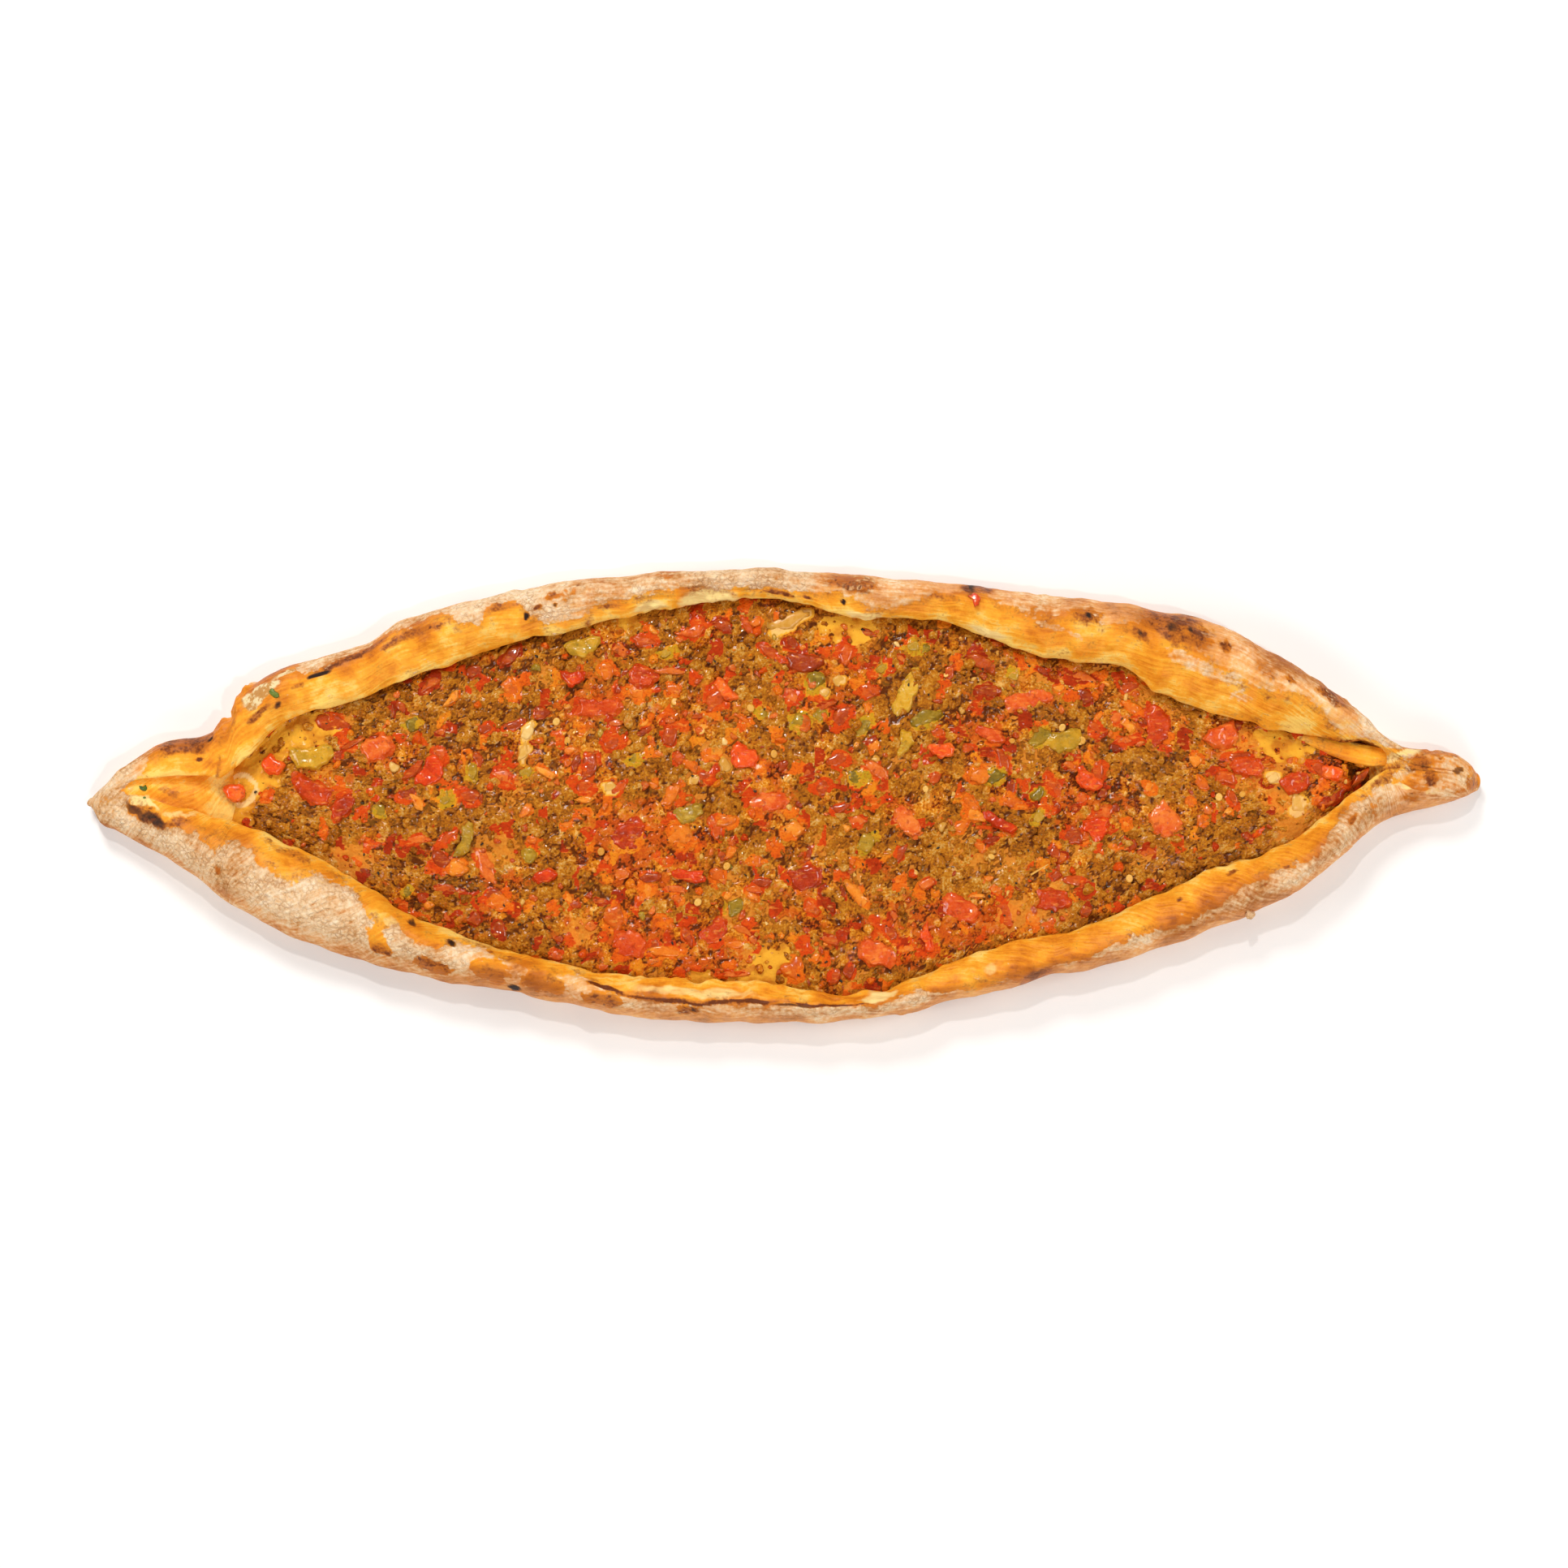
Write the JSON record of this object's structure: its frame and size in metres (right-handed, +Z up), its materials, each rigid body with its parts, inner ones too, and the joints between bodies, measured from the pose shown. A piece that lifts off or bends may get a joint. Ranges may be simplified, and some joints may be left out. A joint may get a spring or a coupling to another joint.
{
  "type": "turkish pide",
  "caption": "Long boat-shaped flatbread with pointed ends and puffy folded rims, baked open over a filling of minced meat with chopped tomato and pepper.",
  "frame": {"origin": "on the underside, at the middle of the outline", "axes": "+X along the boat towards the twisted end, +Y across it, +Z up from the surface it lies on"},
  "size_m": [0.45, 0.1484, 0.0231],
  "materials": {
    "baked_dough": "matte",
    "minced_meat": "satin",
    "tomato": "gloss",
    "red_pepper": "gloss",
    "green_pepper": "gloss"
  },
  "bodies": {
    "root": {"bread_boat": "baked_dough", "green_pepper_01": "green_pepper", "green_pepper_02": "green_pepper", "green_pepper_03": "green_pepper", "green_pepper_04": "green_pepper", "green_pepper_05": "green_pepper", "green_pepper_06": "green_pepper", "green_pepper_07": "green_pepper", "mince_filling": "minced_meat", "red_pepper_01": "red_pepper", "red_pepper_02": "red_pepper", "red_pepper_03": "red_pepper", "red_pepper_04": "red_pepper", "red_pepper_05": "red_pepper", "red_pepper_06": "red_pepper", "red_pepper_07": "red_pepper", "red_pepper_08": "red_pepper", "red_pepper_09": "red_pepper", "red_pepper_10": "red_pepper", "red_pepper_11": "red_pepper", "red_pepper_12": "red_pepper", "red_pepper_13": "red_pepper", "red_pepper_14": "red_pepper", "tomato_01": "tomato", "tomato_02": "tomato", "tomato_03": "tomato", "tomato_04": "tomato", "tomato_05": "tomato", "tomato_06": "tomato", "tomato_07": "tomato", "tomato_08": "tomato", "tomato_09": "tomato", "tomato_10": "tomato", "tomato_11": "tomato", "tomato_12": "tomato", "tomato_13": "tomato", "tomato_14": "tomato", "tomato_15": "tomato", "tomato_16": "tomato", "tomato_17": "tomato", "tomato_18": "tomato", "tomato_19": "tomato", "tomato_20": "tomato", "tomato_21": "tomato"}
  },
  "joints": []
}
